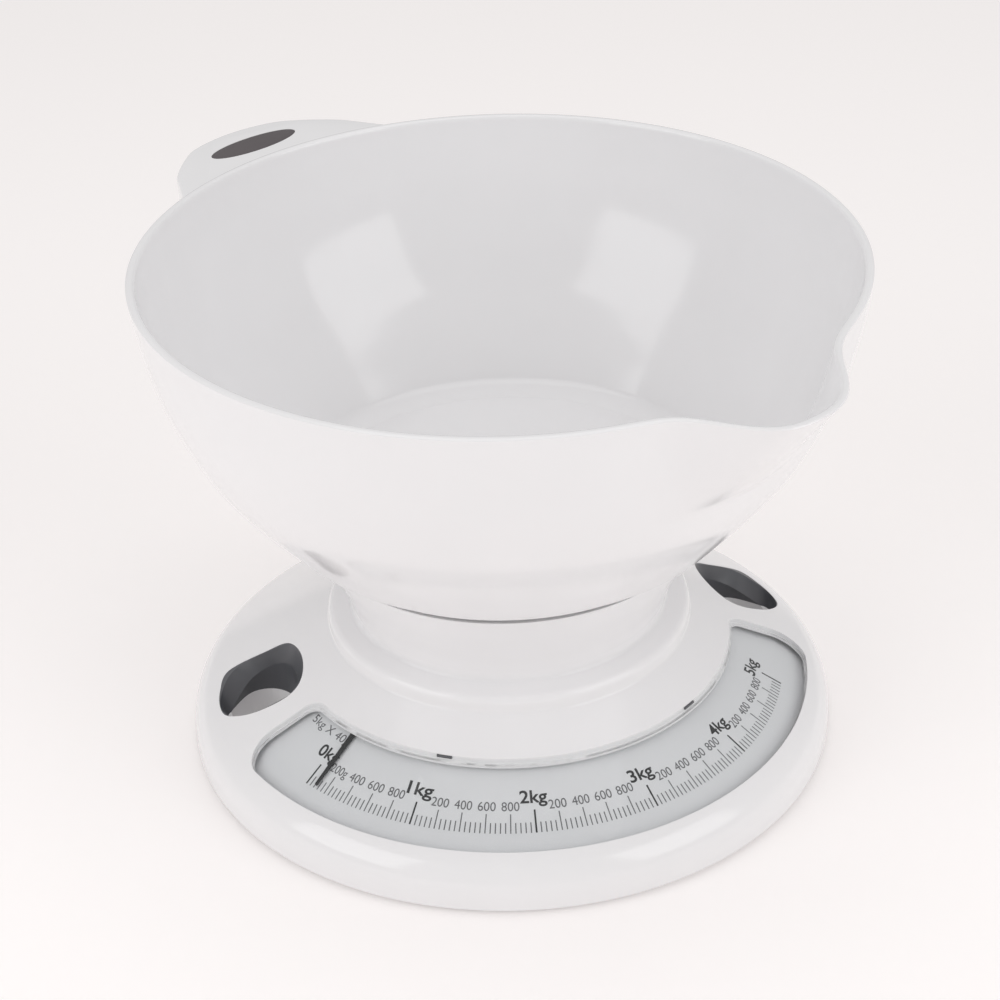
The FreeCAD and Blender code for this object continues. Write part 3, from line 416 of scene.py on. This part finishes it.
HANDLE_PLAN = ((106.5, 43.6), (114.0, 39.6), (122.7, 34.5), (131.5, 25.5), (137.5, 16.0))
HANDLE_OUT_R = 140.0
SPRING_TURNS = 5
TAB_ROOT_R = 113.2                          # inside the thickness of the bowl's wall


def lens_band(high_out, high_in):
    """Ring from the underside of the lens up to these heights at its outer and inner edge."""
    return turned("band", [(BAND_IN_R, cone_z(BAND_IN_R, LENS_UPRIGHT)),
                           (BAND_OUT_R, cone_z(BAND_OUT_R, LENS_UPRIGHT)),
                           (BAND_OUT_R, high_out), (BAND_IN_R, high_in)])


def smooth_through(points, steps):
    """Points along a smooth curve through the given ones."""
    out = []
    count = len(points)
    for i in range(count - 1):
        a = Vector(points[max(i - 1, 0)])
        b = Vector(points[i])
        c = Vector(points[i + 1])
        d = Vector(points[min(i + 2, count - 1)])
        for k in range(steps):
            t = k / steps
            out.append(0.5 * ((2 * b) + (c - a) * t + (2 * a - 5 * b + 4 * c - d) * t ** 2
                              + (3 * b - a - 3 * c + d) * t ** 3))
    out.append(Vector(points[-1]))
    return out


def push_spout(piece, rim, reach):
    """Draws the wall out into the pouring spout, least at the bottom."""
    for v in piece.data.vertices:
        radius = v.co.to_2d().length
        if radius < 60 * MM:
            continue
        away = math.degrees(math.atan2(v.co.y, v.co.x)) - SPOUT_DEG
        away = (away + 180) % 360 - 180
        half = SPOUT_RIGHT_DEG if away > 0 else SPOUT_LEFT_DEG
        fade = max(0.0, 1 - (rim - v.co.z) / (SPOUT_DEEP * MM))
        push = reach * min(1.0, fade) ** 1.15 * math.exp(-abs(away / half) ** SPOUT_SQUARE)
        v.co.x *= (radius + push) / radius
        v.co.y *= (radius + push) / radius


class SCALE_OT_bowl(bpy.types.Operator):
    """Mixing bowl: a thin wall with a rolled lip, a foot ring and a pouring spout"""
    bl_idname = "scale.bowl"
    bl_label = "Bowl"

    def execute(self, context):
        sizes = context.scene.scale_sizes
        rim = sizes.rim_height / MM
        radius = sizes.rim_radius / MM
        wall = smooth_through([(radius + across, rim - deep) for deep, across in BOWL_PROFILE], 7)
        outside = []
        inside = []
        for i, p in enumerate(wall):
            along = (wall[min(i + 1, len(wall) - 1)] - wall[max(i - 1, 0)]).normalized()
            out_way = Vector((-along.y, along.x))
            outside.append(p)
            inside.append(p - out_way * BOWL_WALL)
        # the lip: a narrow flat with rounded edges
        outer = [tuple(p) for p in reversed(outside)]
        top = [(radius - 0.15, rim - 0.5), (radius - 0.55, rim - 0.1), (radius - 1.1, rim),
               (radius - 1.9, rim), (radius - 2.4, rim - 0.15), (radius - 2.7, rim - 0.6)]
        outer = outer[:-1] + top
        inner = [tuple(p) for p in inside if p.y < rim - 1.2]
        for k in range(1, 6):
            a = k / 5 * math.radians(48)
            inner.append((inner[-1][0] - 3.2 * math.cos(math.radians(48) - a),
                          inner[-1][1] - 1.6 * math.sin(math.radians(48) - a)))
        floor_z = inner[-1][1]
        inner += [(60.0, floor_z - 0.15), (40.0, floor_z - 0.2), (20.0, floor_z - 0.2), (4.0, floor_z - 0.2)]
        bottom = wall[-1].y
        foot = [(4.0, bottom + 0.2), (60.0, bottom + 0.2), (63.0, bottom), (63.4, 84.9), (63.8, 84.6),
                (67.2, 84.6), (67.8, 84.9), (68.0, 85.5), (68.4, 86.8), (70.0, bottom + 0.05)]
        bowl = turned("bowl_shell", foot + outer + inner, 256)
        push_spout(bowl, sizes.rim_height, sizes.spout_reach)
        only(bowl)
        bpy.ops.object.mode_set(mode="EDIT")
        bpy.ops.mesh.select_all(action="SELECT")
        bpy.ops.mesh.normals_make_consistent(inside=False)
        bpy.ops.object.mode_set(mode="OBJECT")
        wear(bowl, "white_plastic", 40)
        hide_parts("bowl")
        place_on(bowl, "bowl_body")
        return {"FINISHED"}


class SCALE_OT_handle(bpy.types.Operator):
    """Handle tab: a flat arch level with the rim, hollow below, with a rubber insert on top"""
    bl_idname = "scale.handle"
    bl_label = "Handle tab"

    def execute(self, context):
        rim = context.scene.scale_sizes.rim_height / MM - 0.4
        side = [(out, across) for out, across in HANDLE_PLAN]
        arch = smooth_through(side + [(HANDLE_OUT_R, 0.0)] + [(o, -a) for o, a in reversed(side)], 6)
        reach = math.atan2(arch[0].y, arch[0].x)
        back = [Vector((TAB_ROOT_R * math.cos(a), TAB_ROOT_R * math.sin(a)))
                for a in (reach * (k / 12 - 1) for k in range(25))]
        plan = arch + back
        count = len(plan)
        bpy.ops.object.select_all(action="DESELECT")
        bpy.ops.mesh.primitive_circle_add(vertices=count, radius=0.1, fill_type="NGON")
        tab = bpy.context.object
        tab.name = tab.data.name = "handle_tab"
        turn = Matrix.Rotation(math.radians(HANDLE_DEG), 3, "Z")
        for v, p in zip(tab.data.vertices, plan):
            v.co = turn @ Vector((p.x * MM, p.y * MM, rim * MM))
        bpy.ops.object.mode_set(mode="EDIT")
        bpy.ops.mesh.select_all(action="SELECT")
        bpy.ops.mesh.normals_make_consistent(inside=False)
        bpy.ops.mesh.extrude_region_move(TRANSFORM_OT_translate={"value": (0, 0, -7.5 * MM)})
        bpy.ops.mesh.inset(thickness=2.4 * MM, depth=0)
        bpy.ops.mesh.extrude_region_move(TRANSFORM_OT_translate={"value": (0, 0, 4.5 * MM)})
        bpy.ops.mesh.select_all(action="SELECT")
        bpy.ops.mesh.normals_make_consistent(inside=False)
        pick(tab, "EDGE", lambda edge: all(abs(v.co.z - rim * MM) < 0.01 * MM for v in edge.verts)
             and max(v.co.to_2d().length for v in edge.verts) > (TAB_ROOT_R + 0.5) * MM)
        bpy.ops.mesh.bevel(offset=1.0 * MM, segments=4, affect="EDGES", clamp_overlap=False)
        bpy.ops.object.mode_set(mode="OBJECT")
        # seat of the insert
        bpy.ops.object.select_all(action="DESELECT")
        centre = turn @ Vector((125.9 * MM, 0, rim * MM))
        bpy.ops.mesh.primitive_cylinder_add(vertices=96, radius=1.0, depth=3.2 * MM, location=centre)
        seat = bpy.context.object
        seat.scale = (5.65 * MM, 17.4 * MM, 1.0)
        seat.rotation_euler.z = math.radians(HANDLE_DEG)
        bpy.ops.object.transform_apply(location=True, rotation=True, scale=True)
        cut(tab, seat)
        wear(tab, "white_plastic", 30)
        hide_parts("bowl")
        place_on(tab, "bowl_body")
        # insert with a pillowed top and a fine grid of pips
        bpy.ops.object.select_all(action="DESELECT")
        bpy.ops.mesh.primitive_cylinder_add(vertices=96, radius=1.0, depth=1.8 * MM,
                                            location=centre + Vector((0, 0, -0.95 * MM)))
        insert = bpy.context.object
        insert.name = insert.data.name = "handle_insert"
        insert.scale = (5.5 * MM, 17.25 * MM, 1.0)
        insert.rotation_euler.z = math.radians(HANDLE_DEG)
        bpy.ops.object.transform_apply(location=True, rotation=True, scale=True)
        bpy.ops.object.mode_set(mode="EDIT")
        pick(insert, "FACE", lambda face: face.normal.z > 0.9)
        bpy.ops.mesh.inset(thickness=0.5 * MM, depth=0.25 * MM)
        bpy.ops.mesh.inset(thickness=1.2 * MM, depth=0.1 * MM)
        bpy.ops.object.mode_set(mode="OBJECT")
        wear(insert, "dark_rubber", 60)
        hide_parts("grip_insert")
        place_on(insert, "bowl_body")
        return {"FINISHED"}


class SCALE_OT_base(bpy.types.Operator):
    """Base housing: one moulding with the cone, the ridge and the flared column, cut for its window"""
    bl_idname = "scale.base"
    bl_label = "Base housing"

    def execute(self, context):
        flare = [(WAIST_R, 51.0), (54.3, 56.2), (57.1, 63.2), (60.6, 70.6), (64.2, 77.8)]
        wall = [tuple(p) for p in smooth_through(flare, 5)]
        outer = rounded([(BASE_R, FOOT_LIFT, 0), (BASE_R, cone_z(BASE_R, -LINER_CLEAR), EDGE_ROUND),
                         (SHOULDER_R, cone_z(SHOULDER_R, -LINER_CLEAR), 1.5), (SHOULDER_R, 46.7, 2.6),
                         (WAIST_R, 48.2, 1.5), (WAIST_R, 51.0, 0), (0.0, 300.0, 0)], 10)[:-2]
        top = [(64.5, 78.2), (64.3, 78.3), (63.0, 78.3), (62.4, 78.1)]
        inner_wall = [(r - SKIN, z) for r, z in reversed(wall[:-1])]
        waist, shoulder, side = WAIST_R - SKIN, SHOULDER_R - SKIN, BASE_R - SKIN
        inner = rounded([(0.0, 200.0, 0), (waist, 50.0, 0), (waist, 46.2, 1.0), (shoulder, 44.0, 1.0),
                         (shoulder, cone_z(shoulder, SKIN_UPRIGHT), 0.6),
                         (side, cone_z(side, SKIN_UPRIGHT), EDGE_ROUND - SKIN),
                         (side, FOOT_LIFT, 0)], 8)[2:]
        profile = outer + wall + top + inner_wall + inner
        base = turned("base_shell", profile, 256)
        # pocket of the lens and the opening under it
        pocket = window_prism("pocket", 0.0)
        cut(pocket, lens_band(60.0, 60.0), "INTERSECT")
        cut(base, pocket)
        cut(base, window_prism("opening", LEDGE))
        for hand in (1, -1):
            cut(base, grip_cutter(hand))
        only(base)
        bpy.ops.object.mode_set(mode="EDIT")
        bpy.ops.mesh.select_all(action="SELECT")
        bpy.ops.mesh.remove_doubles(threshold=0.000004)
        bpy.ops.object.mode_set(mode="OBJECT")
        wear(base, "white_plastic", 28)
        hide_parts("base_housing")
        place_on(base, "base")
        return {"FINISHED"}


GRIP_RIM = ((80.0, -10.2), (91.0, -7.0), (98.3, -0.6), (99.9, 6.0), (98.2, 15.0),
            (93.3, 23.4), (80.5, 19.4), (73.4, 15.2), (71.4, 4.0), (74.0, -6.5))


def ring_through(points, steps):
    """Closed smooth ring through the given points."""
    count = len(points)
    out = []
    for i in range(count):
        a, b, c, d = (Vector(points[(i + k - 1) % count]) for k in range(4))
        for k in range(steps):
            t = k / steps
            out.append(0.5 * ((2 * b) + (c - a) * t + (2 * a - 5 * b + 4 * c - d) * t ** 2
                              + (3 * b - a - 3 * c + d) * t ** 3))
    return out


def grip_cutter(side):
    """Upright prism of one finger grip."""
    return prism("grip", [(side * p.x, p.y) for p in ring_through(GRIP_RIM, 8)], 14.5, 64.5)


class SCALE_OT_spring(bpy.types.Operator):
    """Main spring inside the column, built as a fixed coil over the frame spring's height; in the real scale
    it shortens as the platform sinks
    """
    bl_idname = "scale.spring"
    bl_label = "Main spring"

    def execute(self, context):
        heights = [corner[2] for corner in frame["nodes"]["main_spring"].bound_box]
        low, high = min(heights), max(heights)
        wire = 1.25 * MM
        bpy.ops.object.select_all(action="DESELECT")
        bpy.ops.mesh.primitive_circle_add(vertices=16, radius=wire, location=(12.0 * MM, 0, low + wire),
                                          rotation=(math.radians(90), 0, 0))
        spring = bpy.context.object
        spring.name = spring.data.name = "spring_coil"
        bpy.ops.object.transform_apply(location=True, rotation=True, scale=True)
        apply(spring, "SCREW", axis="Z", screw_offset=(high - low - 2 * wire) / SPRING_TURNS,
              iterations=SPRING_TURNS, steps=48, render_steps=48)
        bpy.ops.object.mode_set(mode="EDIT")
        bpy.ops.mesh.select_all(action="SELECT")
        bpy.ops.mesh.fill_holes(sides=0)
        bpy.ops.mesh.normals_make_consistent(inside=False)
        bpy.ops.object.mode_set(mode="OBJECT")
        wear(spring, "spring_steel", 50)
        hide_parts("main_spring")
        place_on(spring, "base")
        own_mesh(spring)
        return {"FINISHED"}


class SCALE_OT_lens(bpy.types.Operator):
    """Clear window over the dial, with two dark blocks at its inner edge as painted shade of two snap
    notches
    """
    bl_idname = "scale.lens"
    bl_label = "Dial window"

    def execute(self, context):
        gap = context.scene.scale_sizes.lens_gap / MM
        lens = window_prism("dial_window", gap)
        cut(lens, lens_band(cone_z(BAND_OUT_R), cone_z(BAND_IN_R)), "INTERSECT")
        wear(lens, "clear_lens", 12)
        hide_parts("dial_lens")
        place_on(lens, "base")
        # Painted shade: two small dark blocks in the gap at the window's inner edge stand in for the shade
        # of two snap notches; no notch is cut
        for deg in (-123.5, -56.5):
            bpy.ops.object.select_all(action="DESELECT")
            bpy.ops.mesh.primitive_cube_add(size=1.0, location=(74.35 * MM, 0, (cone_z(74.35) - 0.5) * MM))
            shade_block = bpy.context.object
            shade_block.name = shade_block.data.name = "notch_shade_left" if deg < -90 else "notch_shade_right"
            shade_block.scale = (0.7 * MM, 5.0 * MM, 0.9 * MM)
            bpy.ops.object.transform_apply(location=True, rotation=False, scale=True)
            shade_block.rotation_euler.z = math.radians(deg)
            bpy.ops.object.transform_apply(location=False, rotation=True, scale=False)
            apply(shade_block, "BEVEL", width=0.15 * MM, segments=2)
            wear(shade_block, "dark_plastic")
            place_on(shade_block, "base")
        return {"FINISHED"}


class SCALE_OT_dial(bpy.types.Operator):
    """Print of the dial: ticks each 40 g, longer ones each 200 g and each kilogram, and numbers"""
    bl_idname = "scale.dial"
    bl_label = "Dial print"

    first: bpy.props.FloatProperty(name="Zero direction", description="Direction of the zero tick",
                                   default=math.radians(-152.5), subtype="ANGLE")

    def execute(self, context):
        drop = context.scene.scale_sizes.dial_drop / MM
        first = math.degrees(self.first)
        ticks = {"ink": [], "fine_ink": []}
        for i in range(126):
            if i % 25 == 0:
                ticks["ink"].append((first + i, 85.8, 0.55))
            elif i % 5 == 0:
                ticks["fine_ink"].append((first + i, 86.9, 0.34))
            else:
                ticks["fine_ink"].append((first + i, 89.4, 0.34))
        for material, entries in ticks.items():
            pieces = []
            for deg, inner, width in entries:
                bpy.ops.object.select_all(action="DESELECT")
                bpy.ops.mesh.primitive_grid_add(x_subdivisions=1, y_subdivisions=1, size=1.0)
                tick = bpy.context.object
                turn = Matrix.Rotation(math.radians(deg), 3, "Z")
                for v in tick.data.vertices:
                    radius = inner if v.co.x < 0 else 92.4
                    side = width / 2 if v.co.y > 0 else -width / 2
                    v.co = turn @ Vector((radius * MM, side * MM, (cone_z(radius, drop) + 0.04) * MM))
                pieces.append(tick)
            only(*pieces)
            bpy.ops.object.join()
            joined = bpy.context.object
            joined.name = joined.data.name = "ticks_bold" if material == "ink" else "ticks_fine"
            apply(joined, "SOLIDIFY", thickness=0.03 * MM, offset=-1.0)
            wear(joined, material)
            place_on(joined, "base")
        words = []
        for i in range(6):
            words.append((f"{i}kg", first + 25 * i, 82.0, 4.2, 8.6, "ink", 0.06))
        for i in range(5):
            for j in range(1, 5):
                text = f"{200 * j}" + ("g" if i == 0 and j == 1 else "")
                long = 6.6 if text.endswith("g") else 5.6
                words.append((text, first + 25 * i + 5 * j, 84.7, 3.0, long, "fine_ink", 0.0))
        words.append(("5kg X 40g", first - 4.3, 76.4, 2.9, 18.5, "fine_ink", 0.0))
        groups = {"ink": [], "fine_ink": []}
        for text, deg, radius, tall, long, material, bold in words:
            groups[material].append(self.word(text, deg, radius, tall, long, bold, drop))
        for material, pieces in groups.items():
            only(*pieces)
            bpy.ops.object.join()
            joined = bpy.context.object
            joined.name = joined.data.name = "numbers_bold" if material == "ink" else "numbers_fine"
            wear(joined, material)
            place_on(joined, "base")
        return {"FINISHED"}

    def word(self, text, deg, radius, tall, long, bold, drop):
        """One label, laid on the cone with its top towards the axis."""
        bpy.ops.object.select_all(action="DESELECT")
        bpy.ops.object.text_add()
        label = bpy.context.object
        label.data.body = text
        label.data.offset = bold * 0.3
        label.data.resolution_u = 5
        bpy.ops.object.convert(target="MESH")
        label = bpy.context.object
        apply(label, "TRIANGULATE")
        xs = [v.co.x for v in label.data.vertices]
        ys = [v.co.y for v in label.data.vertices]
        wide = max(xs) - min(xs)
        middle = (max(xs) + min(xs)) / 2
        digit_top = max(ys)
        for v in label.data.vertices:
            across = (v.co.x - middle) * long / wide
            up = (v.co.y / digit_top - 0.5) * tall * math.cos(math.radians(30))
            r = radius - up
            way = math.radians(deg) + across / r
            v.co = (r * math.cos(way) * MM, r * math.sin(way) * MM, (cone_z(r, drop) + 0.05) * MM)
        apply(label, "SOLIDIFY", thickness=0.03 * MM, offset=-1.0)
        return label


class SCALE_OT_finishes(bpy.types.Operator):
    """Gives every piece of the frame the material of its slot"""
    bl_idname = "scale.finishes"
    bl_label = "Finishes"

    def execute(self, context):
        MATERIALS.update(make_materials(context.scene.scale_colours))
        slots = {row["node"]: row["material_slot"] for row in frame["record"]["subparts"]}
        for node, piece in frame["nodes"].items():
            for slot in piece.material_slots:
                slot.material = MATERIALS[slots[node]]
        return {"FINISHED"}


# ------------------------------------------------------------------ stage
def softbox(name, place, target, size, power):
    """A rectangular studio lamp at a place, turned to a target, in metres and watts."""
    bpy.ops.object.light_add(type="AREA", location=place)
    lamp = bpy.context.object
    lamp.name = name
    lamp.data.shape = "RECTANGLE"
    lamp.data.size, lamp.data.size_y = size
    lamp.data.energy = power
    way = Vector(target) - Vector(place)
    lamp.rotation_euler = way.to_track_quat("-Z", "Y").to_euler()
    return lamp


class SCALE_OT_stage(bpy.types.Operator):
    """Pale floor, soft studio light and the camera"""
    bl_idname = "scale.stage"
    bl_label = "Stage"

    def execute(self, context):
        bpy.ops.object.select_all(action="DESELECT")
        bpy.ops.mesh.primitive_plane_add(size=12.0, location=(0, 0, 0))
        floor = bpy.context.object
        floor.name = floor.data.name = "floor"
        material = start("painted studio floor")
        patches = noise(material, 400.0)
        colour = mix_colour(material, spread(material, patches.outputs[0], 0.0, 1.0).outputs[0],
                            linear(context.scene.scale_colours.floor),
                            shade(context.scene.scale_colours.floor, 0.995))
        shader = add(material, "ShaderNodeBsdfPrincipled",
                     {"Roughness": 0.9, "Specular IOR Level": 0.1,
                      "Emission Color": (1.0, 0.985, 0.98, 1.0), "Emission Strength": 0.14},
                     {"Base Color": colour.outputs[2]})
        finish(material, shader.outputs[0])
        floor.data.materials.append(material)

        world = bpy.data.worlds.new("studio")
        context.scene.world = world
        world.use_nodes = True
        background = world.node_tree.nodes["Background"]
        background.inputs["Color"].default_value = (1.0, 0.992, 0.99, 1.0)
        background.inputs["Strength"].default_value = 0.58
        # camera in the frame's own axes: right, up and backwards, then place, in metres
        lens = 2371.0 / 1000.0 * 36.0
        azimuth = math.radians(-0.17 + 16.609)
        pitch = math.radians(31.33)
        roll = math.radians(-1.72)
        flat = Vector((math.sin(azimuth), math.cos(azimuth), 0))
        ahead = flat * math.cos(pitch) - Vector((0, 0, math.sin(pitch)))
        right = Vector((math.cos(azimuth), -math.sin(azimuth), 0))
        up = right.cross(ahead)
        right_rolled = math.cos(roll) * right + math.sin(roll) * up
        up_rolled = -math.sin(roll) * right + math.cos(roll) * up
        turn = Matrix((right_rolled, up_rolled, -ahead)).transposed().to_4x4()
        bpy.ops.object.camera_add()
        camera = bpy.context.object
        camera.name = "camera"
        camera.data.lens = lens
        camera.data.sensor_width = 36.0
        camera.matrix_world = Matrix.Translation((-0.1902, -0.6377, 0.4885)) @ turn
        context.scene.camera = camera

        # two square boxes beside the camera that mirror in the bowl, and a broad one overhead
        def seen_from(side, out, height):
            """A place to the camera's right, ahead of the axis, and up, in metres."""
            return right * side + flat * out + Vector((0, 0, height))

        softbox("left_box", seen_from(-0.94, -0.61, 0.65), (0, 0, 0.1), (0.85, 0.8), 3.6)
        softbox("right_box", seen_from(0.94, -0.61, 0.65), (0, 0, 0.1), (0.85, 0.8), 3.6)
        softbox("top_box", seen_from(0.0, 0.3, 1.9), (0, 0, 0.1), (1.6, 1.0), 5.0)
        context.scene.view_settings.view_transform = "Standard"
        return {"FINISHED"}


# ------------------------------------------------------------------ panel and start
class SCALE_PT_panel(bpy.types.Panel):
    """Steps and sizes of the kitchen scale"""
    bl_idname = "SCALE_PT_panel"
    bl_label = "Kitchen Scale"
    bl_space_type = "VIEW_3D"
    bl_region_type = "UI"
    bl_category = "Kitchen Scale"

    def draw(self, context):
        for step in STEPS:
            self.layout.operator(step.bl_idname)
        for group in (context.scene.scale_sizes, context.scene.scale_colours):
            for name in group.bl_rna.properties.keys():
                if name not in ("rna_type", "name"):
                    self.layout.prop(group, name)


STEPS = (SCALE_OT_stage, SCALE_OT_finishes, SCALE_OT_base, SCALE_OT_spring, SCALE_OT_lens,
         SCALE_OT_dial, SCALE_OT_bowl, SCALE_OT_handle)
CLASSES = (ScaleSizes, ScaleColours, *STEPS, SCALE_PT_panel)


def register():
    for cls in CLASSES:
        bpy.utils.register_class(cls)
    bpy.types.Scene.scale_sizes = bpy.props.PointerProperty(type=ScaleSizes)
    bpy.types.Scene.scale_colours = bpy.props.PointerProperty(type=ScaleColours)


def unregister():
    del bpy.types.Scene.scale_sizes
    del bpy.types.Scene.scale_colours
    for cls in reversed(CLASSES):
        bpy.utils.unregister_class(cls)


def main():
    register()
    for step in STEPS:
        group, name = step.bl_idname.split(".")
        getattr(getattr(bpy.ops, group), name)()


if __name__ == "__main__":
    main()
